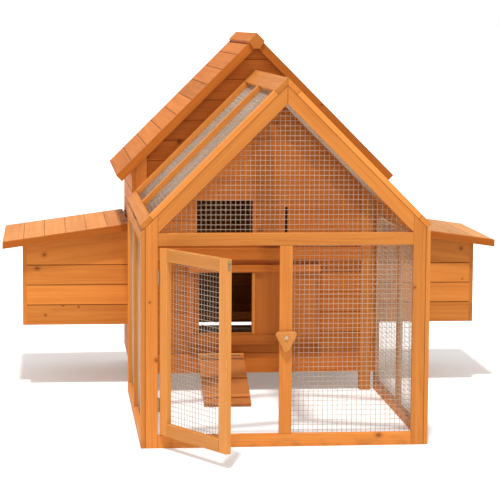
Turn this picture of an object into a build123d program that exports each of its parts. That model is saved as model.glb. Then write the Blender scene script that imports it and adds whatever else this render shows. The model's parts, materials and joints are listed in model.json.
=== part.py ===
from build123d import *
import os
from math import asin, atan, cos, degrees, radians, sin, sqrt, tan

# Timber chicken coop: an A-frame run with a front door, a hen house behind it and a nest box on each side.
# Millimetres. X runs across the front, Y runs back from the front face of the run, Z is up.
# Everything is laid out from the middle of the run's front face, then the whole coop is centred on its box.

# overall sizes
run_width = 887.0
run_depth = 940.0
run_eave_height = 663.0
house_depth = 690.0
house_eave_height = 765.0
roof_pitch = 45.0

# timber sections
stock_width = 38.0
stock_thickness = 18.0
side_frame_thickness = 14.0
bottom_rail_height = 40.0
rafter_depth = 39.0
roof_panel_thickness = 17.0
ridge_rail_width = 56.0
eave_rail_width = 40.0
eave_rail_overhang = 2.5
middle_rafter_start = 470.0
eased_edge = 1.0
side_frame_lap = 20.0
joint_gap = 0.5

# welded mesh, as a thin sheet with the outline and the weight of the wires
mesh_depth = 0.6
mesh_lap = 12.0
mesh_end_gap = 2.0

# run door
door_width = 352.0
door_open_angle = 60.0
door_gap_above = 6.0
door_gap_below = 4.0
door_hinge_gap = 3.0
door_hinge_setback = 3.4
door_hinge_heights = (135.0, 526.0)
catch_plate_width = 12.0
catch_plate_height = 30.0
catch_plate_drop = 3.0
catch_plate_thickness = 1.5
catch_plate_hole_radius = 2.2
catch_plate_hole_drop = 12.0

# turn button on the middle post
button_height = 340.0
button_thickness = 12.0
button_shoulder_spread = 22.0
button_shoulder_rise = 8.0
button_shoulder_radius = 10.0
button_tip_drop = 32.0
button_tip_radius = 11.0
button_edge = 2.5
button_end_gap = 0.3
button_washer_thickness = 2.0
button_washer_radius = 6.0
button_screw_radius = 2.5
button_screw_head_radius = 5.5
button_screw_head_height = 3.0
button_screw_head_lap = 0.5

# hen house walls
board_thickness = 14.0
board_groove = 2.0
wall_board_pitch = 71.333
gable_board_pitch = 70.3
wall_recess = 4.0
house_post = 38.0
pop_hole_left = -194.0
pop_hole_right = -8.0
pop_hole_bottom = 208.0
pop_hole_boards = 3
boards_below_pop_hole = 2
wall_rail_bottom = 468.0
wall_rail_height = 42.0
window_left = -202.0
window_right = -7.0
window_bottom = 534.0
window_boards = 2
vent_slot_left = 106.0
vent_slot_width = 10.0
vent_slot_bottom = 540.0
vent_slot_height = 112.0

# hen house roof
roof_board_thickness = 14.0
roof_board_width = 74.0
roof_board_edge = 1.8
roof_eave_overhang = 55.0
barge_depth = 28.0
barge_thickness = 15.0
front_overhang = 25.0
rear_overhang = 28.0
ridge_cap_width = 56.0
ridge_cap_height = 55.0
ridge_cap_foot = 22.0
ridge_cap_rise = 9.0
ridge_cap_projection = 9.0
ridge_cap_notch_gap = 0.4
roof_top_gap = 2.0

# sliding pop door in its two tracks
pop_door_thickness = 9.0
pop_door_overlap = 14.0
pop_door_clearance = 0.5
pop_door_extra_travel = 4.0
pop_door_extra_width = 6.0
pop_door_pull_width = 10.0
pop_door_pull_depth = 6.0
pop_door_pull_gap = 1.0
track_depth = 18.0
track_height = 26.0
lower_track_height = 34.0
track_lip = 10.0
track_lip_thickness = 7.0
track_stop_width = 20.0
track_rise_above_hole = 2.0
track_drop_below_hole = 5.0
stop_gap_right = 0.5
stop_gap_left = 1.0

# floor, tray and roost
floor_top = 120.0
floor_thickness = 14.0
floor_board_count = 8
bearer_height = 32.0
bearer_width = 18.0
tray_slot_height = 26.0
tray_base_thickness = 4.0
tray_lip_height = 12.0
tray_lip_thickness = 9.0
tray_side_gap = 8.0
tray_lift = 0.5
tray_end_gap = 1.0
roost_setback = 350.0
roost_width = 34.0
roost_height = 30.0
roost_bottom = 205.0
roost_cleat_length = 26.0
roost_cleat_width = 54.0
roost_cleat_height = 30.0

# ramp
ramp_left = -198.0
ramp_right = -38.0
ramp_length = 288.0
ramp_thickness = 12.0
ramp_hinge_height = 134.0
ramp_hinge_setback = 32.0
ramp_foot_gap = 1.0
ramp_tread_count = 3
ramp_tread_first = 4.0
ramp_tread_pitch = 118.0
ramp_tread_width = 14.0
ramp_tread_end_gap = 2.0
ramp_tread_thickness = 7.0
ramp_ledge_depth = 26.0
ramp_ledge_height = 32.0
ramp_ledge_lift = 3.0
ramp_head_gap = 1.5
ramp_hinge_shares = (0.22, 0.78)

# nest boxes
nest_reach = 366.0
nest_front_setback = 139.0
nest_length = 521.0
nest_bottom = 222.0
nest_opening_boards = 3
nest_opening_first_board = 3
nest_opening_margin = 26.0
nest_narrowest_share = 0.8
nest_divider_height = 130.0
nest_divider_thickness = 12.0

# nest box lids
lid_height = 583.6
lid_slope = 8.0
lid_reach = 436.0
lid_thickness = 25.0
lid_board_thickness = 12.0
lid_board_edge = 1.4
lid_board_count = 6
lid_fascia_thickness = 12.0
lid_front_overhang = 34.0
lid_rear_overhang = 34.0
lid_wall_gap = 6.5
lid_rest_gap = 0.3
lid_hinge_shares = (0.2, 0.8)

# hinges
hinge_length = 42.0
hinge_barrel_radius = 3.2
hinge_pin_radius = 1.5
hinge_running_clearance = 0.05
hinge_knuckle_gap = 0.4
hinge_leaf_thickness = 1.5
hinge_leaf_reach = 26.0
butt_leaf_thickness = 1.2
butt_leaf_reach = 19.0
hinge_pin_head_radius = 2.6
hinge_pin_head_height = 1.0
hinge_surface_distance = 3.5

# places worked out from the sizes above
run_half = run_width / 2
post_outer = run_half - side_frame_thickness
post_inner = post_outer - stock_width
slope = radians(roof_pitch)
rise = tan(slope)
house_half = post_outer
house_inner = house_half - board_thickness
house_post_inner = house_inner - house_post
house_front = run_depth
house_rear = house_front + house_depth
wall_face = house_front + wall_recess
wall_back = wall_face + board_thickness
rear_face = house_rear - wall_recess
rear_back = rear_face - board_thickness
wall_bottom = pop_hole_bottom - boards_below_pop_hole * wall_board_pitch
pop_hole_top = pop_hole_bottom + pop_hole_boards * wall_board_pitch
nodes = {}


def bar(x, y, z):
    """A straight timber between two limits on each axis, with its edges eased."""
    size = [limits[1] - limits[0] for limits in (x, y, z)]
    middle = [(limits[0] + limits[1]) / 2 for limits in (x, y, z)]
    timber = Pos(*middle) * Box(*size)
    return chamfer(timber.edges(), min(eased_edge, min(size) / 4))


def plain(x, y, z):
    """A box between two limits on each axis."""
    size = [limits[1] - limits[0] for limits in (x, y, z)]
    middle = [(limits[0] + limits[1]) / 2 for limits in (x, y, z)]
    return Pos(*middle) * Box(*size)


def carried_along_y(outline, y):
    """An outline of (x, z) points carried from y[0] to y[1]."""
    face = make_face(Polyline(*[(px, y[0], pz) for px, pz in outline], close=True))
    return extrude(face, amount=y[1] - y[0], dir=(0, 1, 0))


def carried_along_x(outline, x):
    """An outline of (y, z) points carried from x[0] to x[1]."""
    face = make_face(Polyline(*[(x[0], py, pz) for py, pz in outline], close=True))
    return extrude(face, amount=x[1] - x[0], dir=(1, 0, 0))


def eased(solid, edge=eased_edge):
    """The same solid with every edge taken off."""
    return chamfer(solid.edges(), edge)


def save(name, *solids):
    nodes[name] = list(solids)


def both_sides(solid):
    return [solid, mirror(solid, about=Plane.YZ)]


def slope_band(apex, near, far, top, bottom):
    """The right-hand part of a roof slope, from 'near' to 'far' along it and 'top' to 'bottom' below it."""
    def place(along, below):
        return (along * cos(slope) - below * sin(slope), apex - along * sin(slope) - below * cos(slope))
    return [place(near, top), place(far, top), place(far, bottom), place(near, bottom)]


def run_underside(x):
    """Height of the underside of the run's roof panels at a distance x from the middle."""
    return run_eave_height + (run_half - x) * rise


def board_section(face, back, bottom, top):
    """The end of a wall board with grooved edges; 'face' may be the lower or the higher limit."""
    inwards = board_groove if back > face else -board_groove
    return [
        (face, bottom + board_groove),
        (face + inwards, bottom),
        (back, bottom),
        (back, top),
        (face + inwards, top),
        (face, top - board_groove),
    ]


def levels_between(start, pitch, stop):
    """Board edges from start to stop, with the last board cut to what is left."""
    edges = [start]
    while edges[-1] + pitch < stop - 1:
        edges.append(edges[-1] + pitch)
    return edges + [stop]


def spans_around(limits, holes):
    """What is left of a span once the holes are taken out of it."""
    spans = []
    start = limits[0]
    for hole in sorted(holes):
        spans.append((start, hole[0]))
        start = hole[1]
    spans.append((start, limits[1]))
    return [span for span in spans if span[1] - span[0] > 1]


# front frame of the run
rafter_drop = rafter_depth / cos(slope)
crossbar_top = run_underside(post_inner) - rafter_drop
crossbar_bottom = crossbar_top - stock_width
front_span = (0, stock_thickness)
post_outline = [
    (post_inner, 0),
    (post_outer, 0),
    (post_outer, run_underside(post_outer)),
    (post_inner, run_underside(post_inner)),
]
save("front_posts", *both_sides(eased(carried_along_y(post_outline, front_span))))
save("front_bottom_rail", bar((-post_inner, post_inner), front_span, (0, bottom_rail_height)))
save("front_crossbar", bar((-post_inner, post_inner), front_span, (crossbar_bottom, crossbar_top)))
middle_half = stock_width / 2
save("front_middle_post", bar((-middle_half, middle_half), front_span, (bottom_rail_height, crossbar_bottom)))
rafter_outline = [
    (0, run_underside(0)),
    (post_inner, run_underside(post_inner)),
    (post_inner, crossbar_top),
    (0, run_underside(0) - rafter_drop),
]
save("front_rafters", *both_sides(eased(carried_along_y(rafter_outline, front_span))))

# welded mesh behind the front frame
front_mesh_span = (stock_thickness, stock_thickness + mesh_depth)
gable_mesh_base = crossbar_top - mesh_lap
gable_mesh_half = (run_underside(0) - rafter_drop + mesh_lap - gable_mesh_base) / rise
gable_mesh_outline = [
    (-gable_mesh_half, gable_mesh_base),
    (gable_mesh_half, gable_mesh_base),
    (0, run_underside(0) - rafter_drop + mesh_lap),
]
save("gable_mesh", carried_along_y(gable_mesh_outline, front_mesh_span))
bay_mesh_width = (middle_half - mesh_lap, post_inner + mesh_lap)
bay_mesh_height = (bottom_rail_height - mesh_lap, crossbar_bottom + mesh_lap)
save("bay_mesh", plain(bay_mesh_width, front_mesh_span, bay_mesh_height))

# side frames of the run, outside the front posts and lapping onto the hen house
side_frame_rear = house_front + side_frame_lap
middle_stile = (middle_rafter_start, middle_rafter_start + stock_width)
side_stiles = [(0, stock_width), middle_stile, (side_frame_rear - stock_width, side_frame_rear)]
stile_outline = [
    (post_outer, 0),
    (run_half, 0),
    (run_half, run_eave_height),
    (post_outer, run_underside(post_outer)),
]
top_rail_outline = [
    (post_outer, run_eave_height - stock_width),
    (run_half, run_eave_height - stock_width),
    (run_half, run_eave_height),
    (post_outer, run_underside(post_outer)),
]
right_side = []
for stile in side_stiles:
    right_side.append(eased(carried_along_y(stile_outline, stile)))
for ahead, behind in zip(side_stiles, side_stiles[1:]):
    bay = (ahead[1], behind[0])
    right_side.append(bar((post_outer, run_half), bay, (0, bottom_rail_height)))
    right_side.append(eased(carried_along_y(top_rail_outline, bay)))
save("side_frame_right", *right_side)
save("side_frame_left", *[mirror(piece, about=Plane.YZ) for piece in right_side])
side_mesh = plain(
    (post_outer - mesh_depth, post_outer),
    (stock_width - mesh_lap, house_front - mesh_end_gap),
    (bottom_rail_height - mesh_lap, run_eave_height - stock_width + mesh_lap),
)
side_meshes = both_sides(side_mesh)
save("side_mesh_right", side_meshes[0])
save("side_mesh_left", side_meshes[1])

# roof of the run: two framed slopes with mesh let into their undersides
run_apex = run_underside(0) + roof_panel_thickness / cos(slope)
slope_length = (run_half + eave_rail_overhang) / cos(slope)
ridge_rail_outline = slope_band(run_apex, 0, ridge_rail_width, 0, roof_panel_thickness)
ridge_rail_outline[3] = (0, run_underside(0))
eave_rail_start = slope_length - eave_rail_width
eave_rail_outline = slope_band(run_apex, eave_rail_start, slope_length, 0, roof_panel_thickness)
rafter_band = slope_band(run_apex, ridge_rail_width, eave_rail_start, 0, roof_panel_thickness)
roof_span = (0, house_front - joint_gap)
save("run_ridge_rails", *both_sides(eased(carried_along_y(ridge_rail_outline, roof_span))))
save("run_eave_rails", *both_sides(eased(carried_along_y(eave_rail_outline, roof_span))))
roof_rafters = [(0, stock_width), middle_stile, (roof_span[1] - stock_width, roof_span[1])]
right_rafters = [eased(carried_along_y(rafter_band, rafter)) for rafter in roof_rafters]
save("run_roof_rafters_right", *right_rafters)
save("run_roof_rafters_left", *[mirror(piece, about=Plane.YZ) for piece in right_rafters])
mesh_band = slope_band(
    run_apex,
    ridge_rail_width,
    eave_rail_start,
    roof_panel_thickness - mesh_depth,
    roof_panel_thickness,
)
right_roof_mesh = []
for ahead, behind in zip(roof_rafters, roof_rafters[1:]):
    right_roof_mesh.append(carried_along_y(mesh_band, (ahead[1], behind[0])))
save("run_roof_mesh_right", *right_roof_mesh)
save("run_roof_mesh_left", *[mirror(piece, about=Plane.YZ) for piece in right_roof_mesh])

# hen house roof heights
roof_half = house_half + roof_eave_overhang
roof_apex = house_eave_height + roof_half * rise
roof_under_drop = roof_board_thickness / cos(slope)


def house_underside(x):
    """Height of the underside of the hen house roof boards at a distance x from the middle."""
    return roof_apex - roof_under_drop - x * rise


cap_top = roof_apex + ridge_cap_rise
cap_half = ridge_cap_width / 2
cap_bottom = cap_top - ridge_cap_height
cap_outline = [
    (0, cap_top),
    (cap_half, cap_top - cap_half * rise),
    (ridge_cap_foot / 2, cap_bottom),
    (-ridge_cap_foot / 2, cap_bottom),
    (-cap_half, cap_top - cap_half * rise),
]
roof_span_y = (house_front - front_overhang + barge_thickness, house_rear + rear_overhang - barge_thickness)
cap_past_roof = barge_thickness + ridge_cap_projection
cap_span = (roof_span_y[0] - cap_past_roof, roof_span_y[1] + cap_past_roof)
ridge_cap = carried_along_y(cap_outline, cap_span)
save("ridge_cap", eased(ridge_cap))

# roof boards run from front to back, cut to what is left under the cap
roof_slope_length = roof_half / cos(slope)
first_board_edge = (cap_half + roof_top_gap) / cos(slope)
board_edges = levels_between(0, roof_board_width, roof_slope_length - first_board_edge)
right_roof = []
for lower, upper in zip(board_edges, board_edges[1:]):
    near = roof_slope_length - upper
    far = roof_slope_length - lower
    band = slope_band(roof_apex, near, far, 0, roof_board_thickness)
    right_roof.append(eased(carried_along_y(band, roof_span_y), roof_board_edge))
save("house_roof_boards_right", *right_roof)
save("house_roof_boards_left", *[mirror(piece, about=Plane.YZ) for piece in right_roof])

# barge boards over the ends of the roof boards, notched under the ridge cap
barge_outline = slope_band(roof_apex, 0, roof_slope_length, 0, barge_depth)
barge_outline[3] = (0, roof_apex - barge_depth / cos(slope))
cap_notch = offset(ridge_cap, ridge_cap_notch_gap, kind=Kind.INTERSECTION)
barges = []
for barge_start in (roof_span_y[0] - barge_thickness, roof_span_y[1]):
    barge = carried_along_y(barge_outline, (barge_start, barge_start + barge_thickness)) - cap_notch
    barges.extend(both_sides(barge.solid()))
save("barge_boards", *barges)

# hen house posts
house_post_outline = [
    (house_post_inner, 0),
    (house_inner, 0),
    (house_inner, house_underside(house_inner) - joint_gap),
    (house_post_inner, house_underside(house_post_inner) - joint_gap),
]
house_posts = []
for start in (house_front, house_rear - house_post):
    house_posts.extend(both_sides(eased(carried_along_y(house_post_outline, (start, start + house_post)))))
save("house_posts", *house_posts)

# front and rear walls: grooved boards between the posts, the gable boards cut to the roof
gable_top = cap_bottom - joint_gap
gable_top_half = (house_underside(0) - joint_gap - gable_top) / rise
gable_side_top = house_underside(house_post_inner) - joint_gap
gable_limit = [
    (-house_post_inner, wall_bottom - 1),
    (house_post_inner, wall_bottom - 1),
    (house_post_inner, gable_side_top),
    (gable_top_half, gable_top),
    (-gable_top_half, gable_top),
    (-house_post_inner, gable_side_top),
]
wall_split = pop_hole_top + wall_board_pitch
lower_levels = levels_between(wall_bottom, wall_board_pitch, wall_split)
gable_levels = [wall_split] + levels_between(window_bottom, gable_board_pitch, gable_top)
window_top = window_bottom + window_boards * gable_board_pitch
wall_limits = (-house_post_inner, house_post_inner)


def wall_boards(levels, face, back, holes):
    """Boards across the house from level to level, cut around the holes (left, right, low, high)."""
    limit = carried_along_y(gable_limit, (min(face, back) - 1, max(face, back) + 1))
    boards = []
    for low, high in zip(levels, levels[1:]):
        middle = (low + high) / 2
        cuts = [(hole[0], hole[1]) for hole in holes if hole[2] < middle < hole[3]]
        for span in spans_around(wall_limits, cuts):
            board = carried_along_x(board_section(face, back, low, high), span)
            boards.append((board & limit).solid())
    return boards


front_wall = wall_boards(
    lower_levels, wall_face, wall_back, [(pop_hole_left, pop_hole_right, pop_hole_bottom, pop_hole_top)]
)
save("front_wall_boards", *front_wall)
vent_slot = plain(
    (vent_slot_left, vent_slot_left + vent_slot_width),
    (wall_face - 1, wall_back + 1),
    (vent_slot_bottom, vent_slot_bottom + vent_slot_height),
)
front_gable = wall_boards(
    gable_levels, wall_face, wall_back, [(window_left, window_right, window_bottom, window_top)]
)
save("front_gable_boards", *[(board - vent_slot).solid() for board in front_gable])
wall_rail_levels = (wall_rail_bottom, wall_rail_bottom + wall_rail_height)
save("front_wall_rail", bar(wall_limits, (wall_face - track_depth, wall_face), wall_rail_levels))
slot_top = floor_top + tray_slot_height
rear_levels = levels_between(slot_top, wall_board_pitch, gable_top)
rear_sill = bar(wall_limits, (rear_back, rear_face), (wall_bottom, floor_top))
save("rear_wall_boards", rear_sill, *wall_boards(rear_levels, rear_face, rear_back, []))

# side walls with their openings into the nest boxes
side_levels = levels_between(wall_bottom, wall_board_pitch, house_underside(house_half) - joint_gap)
nest_front = house_front + nest_front_setback
nest_rear = nest_front + nest_length
nest_open_low = side_levels[nest_opening_first_board]
nest_open_high = side_levels[nest_opening_first_board + nest_opening_boards]
nest_open_span = (nest_front + nest_opening_margin, nest_rear - nest_opening_margin)
side_wall = []
for low, high in zip(side_levels, side_levels[1:]):
    inside = nest_open_low < (low + high) / 2 < nest_open_high
    for span in spans_around((house_front, house_rear), [nest_open_span] if inside else []):
        section = board_section(house_half, house_inner, low, high)
        side_wall.append(carried_along_y(section, span))
save("side_wall_right", *side_wall)
save("side_wall_left", *[mirror(board, about=Plane.YZ) for board in side_wall])

# floor boards on two bearers
floor_bottom = floor_top - floor_thickness
floor_span = (house_front + house_post, house_rear - house_post)
floor_pitch = (floor_span[1] - floor_span[0]) / floor_board_count
floor_width = (-house_inner, house_inner)
floor_boards = []
for index in range(floor_board_count):
    start = floor_span[0] + index * floor_pitch
    floor_boards.append(bar(floor_width, (start, start + floor_pitch), (floor_bottom, floor_top)))
for strip in ((wall_back, floor_span[0]), (floor_span[1], rear_back)):
    floor_boards.append(bar(wall_limits, strip, (floor_bottom, floor_top)))
save("house_floor_boards", *floor_boards)
bearers = []
for start in (floor_span[0], floor_span[1] - bearer_width):
    bearer_span = (start, start + bearer_width)
    bearers.append(bar(floor_width, bearer_span, (floor_bottom - bearer_height, floor_bottom)))
save("floor_bearers", *bearers)

# pull-out dropping tray
tray_half = house_post_inner - tray_side_gap
tray_bottom = floor_top + tray_lift
tray_span = (wall_back + tray_end_gap, house_rear - tray_end_gap)
lip_top = tray_bottom + tray_lip_height
lip_bottom = tray_bottom + tray_base_thickness
tray = [plain((-tray_half, tray_half), tray_span, (tray_bottom, lip_bottom))]
for start in (tray_span[0], tray_span[1] - tray_lip_thickness):
    tray.append(plain((-tray_half, tray_half), (start, start + tray_lip_thickness), (lip_bottom, lip_top)))
side_lip = (tray_half - tray_lip_thickness, tray_half)
lip_run = (tray_span[0] + tray_lip_thickness, tray_span[1] - tray_lip_thickness)
tray.extend(both_sides(plain(side_lip, lip_run, (lip_bottom, lip_top))))
save("dropping_tray", *tray)

# roost bar on two cleats
roost_middle = house_front + roost_setback
roost_span = (roost_middle - roost_width / 2, roost_middle + roost_width / 2)
save("roost_bar", bar(floor_width, roost_span, (roost_bottom, roost_bottom + roost_height)))
cleat_span = (roost_middle - roost_cleat_width / 2, roost_middle + roost_cleat_width / 2)
cleat_width = (house_inner - roost_cleat_length, house_inner)
cleat = bar(cleat_width, cleat_span, (roost_bottom - roost_cleat_height, roost_bottom))
save("roost_cleats", *both_sides(cleat))

# tracks of the pop door: lipped strips above and below, with a stop at each end
door_travel = pop_hole_right - pop_hole_left + pop_door_overlap + pop_door_extra_travel
pop_door_width = pop_hole_right - pop_hole_left + 2 * pop_door_overlap + pop_door_extra_width
pop_door_start = pop_hole_right
stop_right = pop_door_start + pop_door_width + stop_gap_right
stop_left = pop_door_start - door_travel - stop_gap_left
track_span = (stop_left - track_stop_width, stop_right + track_stop_width)
track_face = wall_face - track_depth
lip_back = track_face + track_lip_thickness


def track(seat, edge, end):
    """A track strip from its lip's edge, past the step that the door runs against, to its far side."""
    lip = [(track_face, edge), (lip_back, edge), (lip_back, seat)]
    outline = lip + [(wall_face, seat), (wall_face, end), (track_face, end)]
    return carried_along_x(outline, track_span)


upper_seat = pop_hole_top + track_lip + track_rise_above_hole
lower_seat = pop_hole_bottom - track_lip - track_drop_below_hole
upper_edge = upper_seat - track_lip
lower_edge = lower_seat + track_lip
save("pop_door_tracks", track(upper_seat, upper_edge, upper_edge + track_height),
     track(lower_seat, lower_edge, lower_edge - lower_track_height))
stops = []
for start in (track_span[0], stop_right):
    stops.append(bar((start, start + track_stop_width), (lip_back, wall_face), (lower_seat, upper_seat)))
save("pop_door_stops", *stops)

# pop door
door_back = wall_face - pop_door_clearance
door_front = door_back - pop_door_thickness
pop_door_height = (lower_seat + pop_door_clearance, upper_seat - pop_door_clearance)
pop_door_limits = (pop_door_start, pop_door_start + pop_door_width)
save("pop_door_panel", bar(pop_door_limits, (door_front, door_back), pop_door_height))
pull_limits = (pop_door_start, pop_door_start + pop_door_pull_width)
pull_levels = (lower_edge + pop_door_pull_gap, upper_edge - pop_door_pull_gap)
save("pop_door_pull", bar(pull_limits, (door_front - pop_door_pull_depth, door_front), pull_levels))

# ramp, drawn level and then tipped about its hinge until its foot is just off the ground
ramp_axis_y = wall_face - ramp_hinge_setback
ramp_head = -(hinge_barrel_radius + ramp_head_gap)
ramp_foot = (ramp_length - ramp_head, hinge_surface_distance + ramp_thickness)
ramp_foot_reach = sqrt(ramp_foot[0] ** 2 + ramp_foot[1] ** 2)
ramp_foot_dip = asin((ramp_hinge_height - ramp_foot_gap) / ramp_foot_reach)
ramp_slope = degrees(ramp_foot_dip - atan(ramp_foot[1] / ramp_foot[0]))
ramp_turn = Location((0, ramp_axis_y, ramp_hinge_height)) * Location((0, 0, 0), (ramp_slope, 0, 0))
ramp_top = -hinge_surface_distance
ramp_limits = (ramp_left, ramp_right)
ramp_level = bar(ramp_limits, (ramp_head - ramp_length, ramp_head), (ramp_top - ramp_thickness, ramp_top))
save("ramp_board", ramp_turn * ramp_level)
tread_limits = (ramp_left + ramp_tread_end_gap, ramp_right - ramp_tread_end_gap)
tread_levels = (ramp_top, ramp_top + ramp_tread_thickness)
treads = []
for index in range(ramp_tread_count):
    start = ramp_head - ramp_tread_first - index * ramp_tread_pitch
    treads.append(ramp_turn * bar(tread_limits, (start - ramp_tread_width, start), tread_levels))
ledge_face = ramp_axis_y + hinge_surface_distance
ledge_top = ramp_hinge_height + ramp_ledge_lift
save("ramp_ledge", bar(ramp_limits, (ledge_face, wall_face), (ledge_top - ramp_ledge_height, ledge_top)))


# hinges: the pin runs along local Z, leaf 0 carries the outer knuckles and leaf 1 the middle one
def hinge_leaf(index, angle, offset, thickness, reach):
    """A leaf that leaves the pin at an angle, its plate 'offset' to the side of the pin's centre."""
    third = hinge_length / 3
    ends = [(0, third), (2 * third, hinge_length)] if index == 0 else [(third, 2 * third)]
    gap = hinge_knuckle_gap / 2
    clear = hinge_barrel_radius + hinge_knuckle_gap
    leaf = plain((clear, reach), (offset, offset + thickness), (0, hinge_length))
    for start, stop in ends:
        low = start + (gap if start > 0 else 0)
        high = stop - (gap if stop < hinge_length else 0)
        leaf += plain((0, clear + 1), (offset, offset + thickness), (low, high))
        leaf += Pos(0, 0, (low + high) / 2) * Cylinder(hinge_barrel_radius, high - low)
    pin_hole = Cylinder(hinge_pin_radius + hinge_running_clearance, hinge_length + 2)
    leaf -= Pos(0, 0, hinge_length / 2) * pin_hole
    return Pos(0, 0, -hinge_length / 2) * Rot(0, 0, angle) * leaf.solid()


def hinge_pin():
    head = hinge_length / 2 + hinge_pin_head_height / 2 + hinge_knuckle_gap
    pin = Cylinder(hinge_pin_radius, hinge_length + 2 * hinge_knuckle_gap)
    for side in (-1, 1):
        pin += Pos(0, 0, side * head) * Cylinder(hinge_pin_head_radius, hinge_pin_head_height)
    return pin.solid()


hinge_pins = []

# run door, drawn shut and then swung open about its hinge pins
door_axis_x = -post_inner + door_hinge_gap / 2
door_axis_y = -door_hinge_setback
door_left = -post_inner + door_hinge_gap
door_right = door_left + door_width
door_bottom = bottom_rail_height + door_gap_below
door_top = crossbar_bottom - door_gap_above
open_turn = (
    Location((door_axis_x, door_axis_y, 0)) * Location((0, 0, 0), (0, 0, -door_open_angle))
    * Location((-door_axis_x, -door_axis_y, 0))
)
door_frame = []
for limits in ((door_left, door_left + stock_width), (door_right - stock_width, door_right)):
    door_frame.append(open_turn * bar(limits, front_span, (door_bottom, door_top)))
rail_limits = (door_left + stock_width, door_right - stock_width)
for limits in ((door_bottom, door_bottom + stock_width), (door_top - stock_width, door_top)):
    door_frame.append(open_turn * bar(rail_limits, front_span, limits))
save("run_door_frame", *door_frame)
save(
    "run_door_mesh",
    open_turn * plain(
        (door_left + stock_width - mesh_lap, door_right - stock_width + mesh_lap),
        front_mesh_span,
        (door_bottom + stock_width - mesh_lap, door_top - stock_width + mesh_lap),
    ),
)
plate_middle = stock_thickness / 2
plate_top = door_top - catch_plate_drop
catch_plate = plain(
    (door_right, door_right + catch_plate_thickness),
    (plate_middle - catch_plate_width / 2, plate_middle + catch_plate_width / 2),
    (plate_top - catch_plate_height, plate_top),
)
plate_hole = Rot(0, 90, 0) * Cylinder(catch_plate_hole_radius, 2 * catch_plate_thickness + 2)
catch_plate -= Pos(door_right, plate_middle, plate_top - catch_plate_hole_drop) * plate_hole
save("door_catch_plate", open_turn * catch_plate.solid())
fixed_leaves = []
swung_leaves = []
for height in door_hinge_heights:
    place = Location((door_axis_x, door_axis_y, height))
    outer_offset = door_hinge_gap / 2 - butt_leaf_thickness
    fixed_leaves.append(place * hinge_leaf(0, 90, outer_offset, butt_leaf_thickness, butt_leaf_reach))
    moving = hinge_leaf(1, 90, -door_hinge_gap / 2, butt_leaf_thickness, butt_leaf_reach)
    swung_leaves.append(open_turn * place * moving)
    hinge_pins.append(place * hinge_pin())
save("door_hinge_door_leaves", *swung_leaves)

# turn button on its screw, point down
shoulder = Pos(button_shoulder_spread, button_shoulder_rise) * Circle(button_shoulder_radius)
tip = Pos(0, -button_tip_drop) * Circle(button_tip_radius)
button_face = make_hull(shoulder.edges() + mirror(shoulder, about=Plane.YZ).edges() + tip.edges())
button_back = -button_washer_thickness - button_end_gap
button_front = button_back - button_thickness
stand_up = Location((0, 0, button_height)) * Location((0, 0, 0), (90, 0, 0))
button = extrude(button_face, amount=button_thickness)
button = chamfer(button.edges().group_by(Axis.Z)[-1], button_edge)
screw_hole = Cylinder(button_screw_radius + hinge_running_clearance, button_thickness + 2)
button -= Pos(0, 0, button_thickness / 2) * screw_hole
save("turn_button", Pos(0, button_back, 0) * stand_up * button.solid())
washer = Cylinder(button_washer_radius, button_washer_thickness) - Cylinder(
    button_screw_radius + hinge_running_clearance, button_washer_thickness + 2
)
save("button_washer", Pos(0, -button_washer_thickness / 2, 0) * stand_up * washer.solid())
screw_head = button_front - button_end_gap
shank_length = -screw_head + button_screw_head_lap
screw = Pos(0, 0, shank_length / 2) * Cylinder(button_screw_radius, shank_length)
screw += Pos(0, 0, -screw_head + button_screw_head_height / 2) * Cylinder(
    button_screw_head_radius, button_screw_head_height
)
save("button_screw", stand_up * screw.solid())

# nest boxes: outer wall over the ends of the front and rear walls
nest_outer = run_half + nest_reach
nest_inner_face = nest_outer - board_thickness


def lid_surface(x):
    """Height of the top of a nest lid at a distance x from the middle."""
    return lid_height - (x - run_half) * tan(radians(lid_slope))


lid_drop = lid_thickness / cos(radians(lid_slope))


def nest_top(x):
    return lid_surface(x) - lid_drop - lid_rest_gap


nest_wall_limit = carried_along_y(
    [
        (house_half, nest_bottom - 1),
        (nest_outer + 1, nest_bottom - 1),
        (nest_outer + 1, nest_top(nest_outer + 1)),
        (house_half, nest_top(house_half)),
    ],
    (nest_front - 1, nest_rear + 1),
)
nest_levels = levels_between(nest_bottom, wall_board_pitch, nest_top(house_half))
# a narrow strip is not laid by itself: the board below it carries on up to the lid
if nest_levels[-1] - nest_levels[-2] < nest_narrowest_share * wall_board_pitch:
    del nest_levels[-2]
right_nest = []
for low, high in zip(nest_levels, nest_levels[1:]):
    outer_high = min(high, nest_top(nest_outer))
    for face, back in ((nest_front, nest_front + board_thickness), (nest_rear, nest_rear - board_thickness)):
        board = carried_along_x(board_section(face, back, low, high), (house_half, nest_inner_face))
        right_nest.append((board & nest_wall_limit).solid())
    if outer_high - low > 2 * board_groove + 1:
        section = board_section(nest_outer, nest_inner_face, low, outer_high)
        right_nest.append(carried_along_y(section, (nest_front, nest_rear)))
save("nest_walls_right", *right_nest)
save("nest_walls_left", *[mirror(board, about=Plane.YZ) for board in right_nest])
nest_room = (nest_front + board_thickness, nest_rear - board_thickness)
nest_floor_top = nest_bottom + board_thickness
nest_floor = bar((house_half, nest_inner_face), nest_room, (nest_bottom, nest_floor_top))
save("nest_floors", *both_sides(nest_floor))
nest_middle = (nest_front + nest_rear) / 2
divider_span = (nest_middle - nest_divider_thickness / 2, nest_middle + nest_divider_thickness / 2)
divider_levels = (nest_floor_top, nest_floor_top + nest_divider_height)
divider = bar((house_half, nest_inner_face), divider_span, divider_levels)
save("nest_dividers", *both_sides(divider))

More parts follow.
